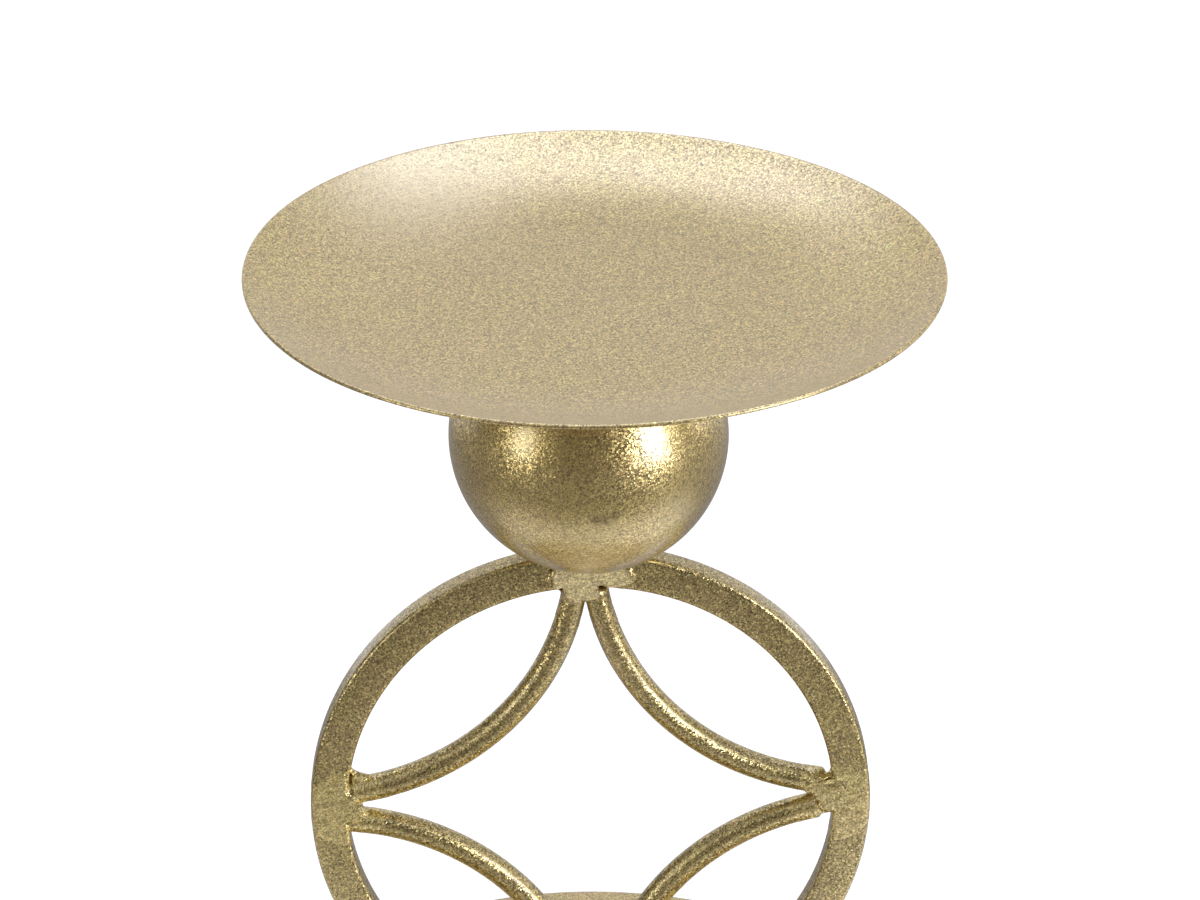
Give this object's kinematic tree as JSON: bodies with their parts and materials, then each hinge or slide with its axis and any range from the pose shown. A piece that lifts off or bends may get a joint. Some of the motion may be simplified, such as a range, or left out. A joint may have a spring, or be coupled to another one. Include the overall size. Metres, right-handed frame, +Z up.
{
  "type": "ring candle holder",
  "caption": "Metal pillar candle holder: a shallow round pan on a ball, on an upright hoop with a concave star of bent rods inside, on a round base.",
  "frame": {"origin": "centre of the felt's underside, where the holder rests", "axes": "+Z up; the hoop lies in the XZ plane, so +X runs along the hoop and -Y is the front"},
  "size_m": [0.12, 0.12, 0.1553],
  "materials": {
    "champagne_metal": "champagne gold metallic coat with a fine grain, satin",
    "weld_metal": "the same champagne gold coat over ground welds, a little duller and rougher",
    "felt": "thin dark felt"
  },
  "bodies": {
    "root": {"base_felt": "felt", "base_plate": "champagne_metal", "base_weld": "weld_metal", "hoop": "champagne_metal", "crown_weld": "weld_metal", "left_weld": "weld_metal", "right_weld": "weld_metal", "foot_weld": "weld_metal", "star_rod_upper_left": "champagne_metal", "star_rod_upper_right": "champagne_metal", "star_rod_lower_left": "champagne_metal", "star_rod_lower_right": "champagne_metal", "ball_lower_half": "champagne_metal", "ball_upper_half": "champagne_metal", "pan_weld": "weld_metal", "drip_pan": "champagne_metal"}
  },
  "joints": []
}
